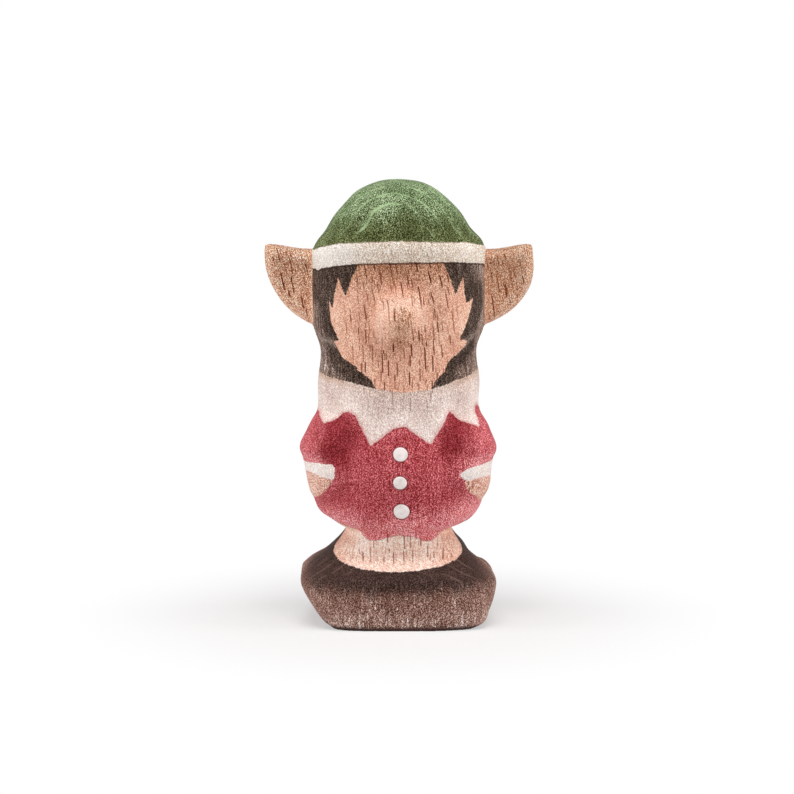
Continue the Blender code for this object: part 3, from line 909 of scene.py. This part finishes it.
def shoe_stain(shade):
    """Brown, nearly black under the legs, worn at the foot, with painted shade along the bottom
    edge.
    """
    front = layer(shade, (121, 84, 72), grain=0.42, clouds=0.1, rays=0.2)
    dark_tone = layer(shade, (55, 37, 32), grain=0.27, clouds=0.04, pool=0.0, rays=0.12)
    worn = layer(shade, (136, 100, 88), grain=0.42, fibres=0.24, clouds=0.1, rays=0.3)
    # Nearly black next to the legs, fading towards the front of the shoes.
    under_leg = shade.near("over_shoes", 0.5)
    colour = shade.mix(shade.ramp(under_leg, -5.5, -2.1), front, dark_tone)
    at_side = shade.ramp(shade.math("ABSOLUTE", shade.across()), 6.0, 10.0, 0.0, 0.27)
    colour = shade.mix(shade.times(shade.marks["rings"], at_side), colour, srgb(150, 122, 110))
    height = shade.times_plus(shade.marks["clouds"], 0.6, shade.marks["up"])
    colour = shade.mix(shade.ramp(height, 2.0, 4.6, 0.75, 0.0), colour, worn)
    # Painted shade along the bottom edge, where the sole turns under and meets the floor.
    at_edge = shade.times_plus(shade.marks["grain"], 0.12, shade.marks["up"])
    return shade.mix(shade.ramp(at_edge, 0.35, 1.1, 0.95, 0.0), colour, srgb(64, 42, 36))


def tunic_stain(shade):
    """Red, stain and painted shade in the valleys, rubbed pale at the hem, the cuffs and the left
    arm.
    """
    light = layer(shade, (170, 64, 70), grain=0.38, pool=0.06, rays=-0.2)
    dark_tone = layer(shade, (137, 39, 45), grain=0.3, fibres=0.03, clouds=0.03, pool=0.01,
                   rays=-0.15)
    rubbed = layer(shade, (228, 120, 123), grain=0.46, fibres=0.08, clouds=0.06, rays=-0.3)
    from_valley = shade.near("valley", 0.5)
    from_valley = shade.math("ADD", from_valley, shade.ramp(shade.across(), 3.0, 8.0, 0.0, 0.6))
    # Darker towards the valleys: stain gathered there, and painted shade of the hollows.
    colour = shade.mix(shade.ramp(from_valley, 0.7, 4.0), dark_tone, light)
    over_hem = shade.near("over_hem", 0.8)
    over_hem = shade.times_plus(shade.across(), -0.12, over_hem)
    worn = shade.ramp(over_hem, 0.5, 5.8, 0.95, 0.0)
    from_middle = shade.times_plus(shade.marks["clouds"], 1.0, shade.across())
    on_arm = shade.ramp(shade.math("ABSOLUTE", from_middle), 11.0, 13.0)
    at_cuff = shade.ramp(shade.attribute("cuff_depth"), -2.6, -0.3, 0.0, 0.6)
    worn = shade.math("MAXIMUM", worn, shade.times(at_cuff, on_arm))
    worn = shade.math("MAXIMUM", worn, shade.times(on_arm, 0.1))
    worn = shade.math("MAXIMUM", worn, shade.ramp(from_middle, 4.0, 12.0, 0.0, 0.06))
    not_deep = shade.ramp(from_valley, 0.4, 2.2)
    return shade.mix(shade.times(worn, not_deep), colour, rubbed)


def hat_stain(shade):
    """Green, browner and deeper down to the band, with the rings showing pale."""
    top = layer(shade, (86, 107, 64), grain=0.54, fibres=0.0, clouds=0.09, rays=0.1)
    foot = layer(shade, (67, 74, 36), grain=0.4, fibres=0.0, clouds=0.07, rays=0.1)
    flank = layer(shade, (85, 108, 64), grain=0.54, fibres=0.0, clouds=0.08, rays=0.1)
    aside = shade.times_plus(shade.marks["clouds"], 1.0, shade.math("ABSOLUTE", shade.across()))
    top = shade.mix(shade.ramp(aside, 4.5, 9.5), top, flank)
    height = shade.near("over_band_top", 1.2)
    colour = shade.mix(shade.ramp(height, 0.5, 8.0), foot, top)
    clear = shade.ramp(shade.attribute("over_band_top"), 0.5, 2.0, 0.0, 0.85)
    return shade.mix(shade.times(shade.marks["rings"], clear), colour, srgb(170, 196, 148))


# %% [markdown]
# The hair was brushed downwards in dark brown. It is deepest in the pointed
# strands beside the face and rubbed thin on the flanks. The two whites hide
# most of the wood. The collar's is thinner, so it is rosier, and the wood shows
# a little at its upper corners. The band's is thickest at the figure's right.

# %% Hair, band, collar and cuffs
def hair_stain(shade):
    flank = layer(shade, (116, 91, 80), grain=0.44, fibres=0.3, clouds=0.08, pool=0.03, rays=-0.2)
    strands = layer(shade, (56, 41, 33), grain=0.36, fibres=0.12, clouds=0.03, pool=0.0,
                    rays=-0.15)
    beside = shade.near("face_depth", 0.8)
    near_face = shade.ramp(beside, -4.2, -1.8)
    under_band = shade.near("over_band_foot", 1.5)
    at_temple = shade.times(shade.ramp(under_band, -7.5, -4.5),
                            shade.ramp(shade.across(), -9.0, -7.0, 0.95, 0.0))
    flank = shade.mix(shade.ramp(shade.across(), 10.5, 13.5, 0.0, 0.2), flank,
                      srgb(170, 142, 126))
    colour = shade.mix(shade.math("MAXIMUM", near_face, at_temple), flank, strands)
    from_crease = shade.near("crease", -0.5, "grain")
    return shade.mix(shade.ramp(from_crease, 0.0, 0.9, 0.55, 0.0), colour, srgb(178, 156, 144))


def collar_paint(shade):
    """White that the wood shines through, with the red bled into its foot."""
    paint = layer(shade, (215, 190, 181), grain=0.28, rays=-0.35)
    thick = layer(shade, (236, 214, 206), grain=0.24, rays=-0.05)
    worn = layer(shade, (174, 136, 108), grain=0.35, rays=-0.7)
    over_foot = shade.attribute("over_collar_foot")
    colour = shade.mix(shade.ramp(over_foot, 0.5, 5.0, 0.9, 0.0), paint, thick)
    below_top = shade.near("over_collar_top", 0.45, "grain")
    near_top = shade.ramp(below_top, -1.1, -0.1, 0.0, 0.7)
    at_side = shade.ramp(shade.math("ABSOLUTE", shade.across()), 7.0, 11.0, 0.25, 1.0)
    colour = shade.mix(shade.times(near_top, at_side), colour, worn)
    bled = shade.times_plus(shade.marks["grain"], 0.2, over_foot)
    return shade.mix(shade.ramp(bled, 0.15, 0.75, 0.55, 0.0), colour, srgb(206, 150, 146))


def band_paint(shade):
    thick = layer(shade, (227, 215, 206), grain=0.24, rays=-0.05)
    thin = layer(shade, (223, 202, 185), grain=0.34, rays=-0.3)
    return shade.mix(shade.ramp(shade.across(), -10.0, -5.0), thick, thin)


def cuff_paint(shade):
    return layer(shade, (236, 217, 210), grain=0.22, fibres=0.03, rays=-0.05)


# %% [markdown]
# The paints go over one another in the painter's order: shoes, tunic, the bare
# hands, cuffs, collar, hair, the bare face, band, hat. Last the ears are wiped
# back to wood. Thin dark lines were left where two paints meet: under the band,
# over it, along the hem and round each button. The line under the band is also
# painted shadow of the band's edge.

# %% The painted figure
DARK_EDGES = {
    "over_hem": (0.12, 0.55, (112, 46, 46)),
    # Under the band: a thin dark line of hair paint, and painted shadow of the band's edge.
    "over_band_foot": (0.32, 0.75, (58, 40, 33)),
    "over_band_top": (0.13, 0.6, (128, 100, 70)),
}


def elf_material():
    shade = ShaderTree("painted_beech")
    shade.marks = wood_marks(shade)
    shade.marks["pool"] = shade.ramp(shade.attribute("ridge"), -0.3, 0.42, -1.0, 1.0)
    waver = edge_waver(shade)
    layers = (("over_shoes", leg_wood), ("over_hem", tunic_stain), ("hand_depth", hand_wood),
              ("cuff_depth", cuff_paint), ("over_collar_foot", collar_paint),
              ("over_collar_top", hair_stain), ("face_depth", bare_wood),
              ("over_band_foot", band_paint), ("over_band_top", hat_stain))
    colour = shoe_stain(shade)
    for name, paint in layers:
        if name in DARK_EDGES:
            reach, strength, dark = DARK_EDGES[name]
            edge = paint_mask(shade, name, waver, shift=reach)
            colour = shade.mix(shade.times(edge, strength), colour, srgb(*dark))
        colour = shade.mix(paint_mask(shade, name, waver), colour, paint(shade))
    colour = shade.mix(paint_mask(shade, "ear_depth", 0.0, 0.05), colour, ear_wood(shade))
    round_button = paint_mask(shade, "button_depth", 0.0, 0.06, 0.16)
    colour = shade.mix(shade.times(round_button, 0.7), colour, srgb(84, 38, 42))

    grain = shade.marks["grain"]
    relief = shade.times_plus(shade.marks["long"], -1.2, shade.times(grain, 0.7))
    relief = shade.times_plus(shade.marks["fibres"], 0.4, relief)
    bump = shade.add("ShaderNodeBump", {"Height": relief, "Strength": 0.3,
                                        "Distance": 0.05 * MM})
    return shade.finish({"Base Color": colour, "Normal": bump.outputs["Normal"],
                         "Roughness": shade.ramp(grain, -1.0, 1.0, 0.65, 0.85),
                         "Specular IOR Level": 0.1})


painted_beech = elf_material()
elf.data.materials.clear()
elf.data.materials.append(painted_beech)
print("material nodes:", len(painted_beech.node_tree.nodes))


# %% [markdown]
# The drops of paint get their own plain white, a little glossier than the
# stain, with faint unevenness where the brush left it.

# %% Buttons in place
DROP_HEIGHT = 0.2
DROP_UNEVENNESS = 0.2


def drop_material():
    shade = ShaderTree("button_paint")
    place = shade.place()
    cloud = shade.noise(place, 900.0, 3.0)
    colour = shade.mix(shade.ramp(cloud, 0.3, 0.7), srgb(226, 214, 210), srgb(244, 235, 232))
    bump = shade.add("ShaderNodeBump", {"Height": shade.noise(place, 2600.0, 2.0),
                                        "Strength": 0.3, "Distance": 0.05 * MM})
    return shade.finish({"Base Color": colour, "Normal": bump.outputs["Normal"],
                         "Roughness": 0.5})


def make_buttons():
    tree_now = tree_of(points)
    seats = [tree_now.find_nearest(Vector(place)) for place in button_points]
    marks = bpy.data.meshes.new("buttons")
    marks.from_pydata([MM * seat[0] for seat in seats], [], [])
    radius = marks.attributes.new("drop_radius", "FLOAT", "POINT")
    radius.data.foreach_set("value", [MM * button[2] for button in BUTTONS])
    normal = marks.attributes.new("drop_normal", "FLOAT_VECTOR", "POINT")
    normal.data.foreach_set("vector", [v for seat in seats for v in seat[1]])
    drops = new_object("buttons", marks)
    modifier = drops.modifiers.new("paint drops", "NODES")
    modifier.node_group = button_tree(drop_material())
    sockets = {item.name: item.identifier
               for item in modifier.node_group.interface.items_tree
               if item.in_out == "INPUT"}
    modifier[sockets["Height"]] = DROP_HEIGHT * MM
    modifier[sockets["Unevenness"]] = DROP_UNEVENNESS
    settle_modifiers(drops)
    return drops


buttons = make_buttons()
print("buttons:", len(buttons.data.polygons), "faces")

# %% [markdown]
# ## Floor and light
#
# The figure stands on a white table in soft light, with a faint shadow where
# the shoes meet it. The floor is nearly white in itself. What the camera sees
# beyond it is a plain white world, while the light that falls on the figure
# stays at a level at which colours look as they are written.

# %% Floor
FLOOR_REACH = 3.0
FADE_FROM = 22.0
FADE_TO = 60.0
FADE_LEAST = 0.45


def floor_material():
    """White paper near the figure, that fades to pure white for the camera."""
    shade = ShaderTree("white_table")
    path = shade.add("ShaderNodeLightPath").outputs
    seen = shade.math("MAXIMUM", path["Is Camera Ray"],
                      shade.math("MAXIMUM", path["Is Glossy Ray"],
                                 path["Is Transmission Ray"]))
    place = shade.place()
    away = shade.add("ShaderNodeVectorMath", {0: place}, operation="LENGTH").outputs["Value"]
    faded = shade.ramp(away, FADE_FROM * MM, FADE_TO * MM, FADE_LEAST, 1.0)
    glow = shade.add("ShaderNodeEmission", {"Strength": 1.0})
    both = shade.add("ShaderNodeMixShader", {0: shade.math("MULTIPLY", seen, faded),
                                             1: shade.shader.outputs[0],
                                             2: glow.outputs[0]})
    output = shade.tree.nodes["Material Output"]
    shade.tree.links.new(both.outputs[0], output.inputs["Surface"])
    return shade.finish({"Base Color": (0.83, 0.825, 0.815, 1.0), "Roughness": 0.9,
                         "Specular IOR Level": 0.1})


floor_mesh = bpy.data.meshes.new("floor")
floor_mesh.from_pydata([(-FLOOR_REACH, -FLOOR_REACH, 0), (FLOOR_REACH, -FLOOR_REACH, 0),
                        (FLOOR_REACH, FLOOR_REACH, 0), (-FLOOR_REACH, FLOOR_REACH, 0)],
                       [], [(0, 1, 2, 3)])
floor_mesh.materials.append(floor_material())
floor = new_object("floor", floor_mesh)


# %% Lights
def soft_light(name, place, aim_at, size, power):
    """A square area light, in metres and watts, turned towards a point."""
    data = bpy.data.lights.new(name, "AREA")
    data.shape = "SQUARE"
    data.size = size
    data.energy = power
    lamp = new_object(name, data)
    lamp.location = place
    lamp.rotation_euler = (Vector(aim_at) - Vector(place)).to_track_quat("-Z", "Y").to_euler()


middle = (0.0, 0.0, 0.035)
soft_light("top_light", (0.0, -0.24, 0.7), middle, 0.45, 4.0)
soft_light("left_light", (-0.66, -0.14, 0.2), middle, 0.32, 2.25)
soft_light("right_light", (0.66, -0.12, 0.2), middle, 0.32, 2.35)

ROOM_LIGHT = 0.15
world = bpy.data.worlds.new("white_room")
world.use_nodes = True
scene.world = world
tree = world.node_tree
background = tree.nodes["Background"]
background.inputs["Color"].default_value = (1.0, 1.0, 1.0, 1.0)
path = tree.nodes.new("ShaderNodeLightPath")
seen = link_nodes(tree, "ShaderNodeMath", {0: path.outputs["Is Camera Ray"],
                                           1: path.outputs["Is Glossy Ray"]},
                  operation="MAXIMUM")
strength = link_nodes(tree, "ShaderNodeMapRange",
                      {"Value": seen.outputs[0], "To Min": ROOM_LIGHT, "To Max": 1.0})
tree.links.new(strength.outputs["Result"], background.inputs["Strength"])
scene.view_settings.view_transform = "Standard"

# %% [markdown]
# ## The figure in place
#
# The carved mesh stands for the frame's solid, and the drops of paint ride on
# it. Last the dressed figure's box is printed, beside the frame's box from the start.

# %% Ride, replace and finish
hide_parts("elf_figurine")
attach(elf, "root")
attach(buttons, "root")
floor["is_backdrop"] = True

dressed_low, dressed_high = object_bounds()
print_box("dressed box", dressed_low, dressed_high)
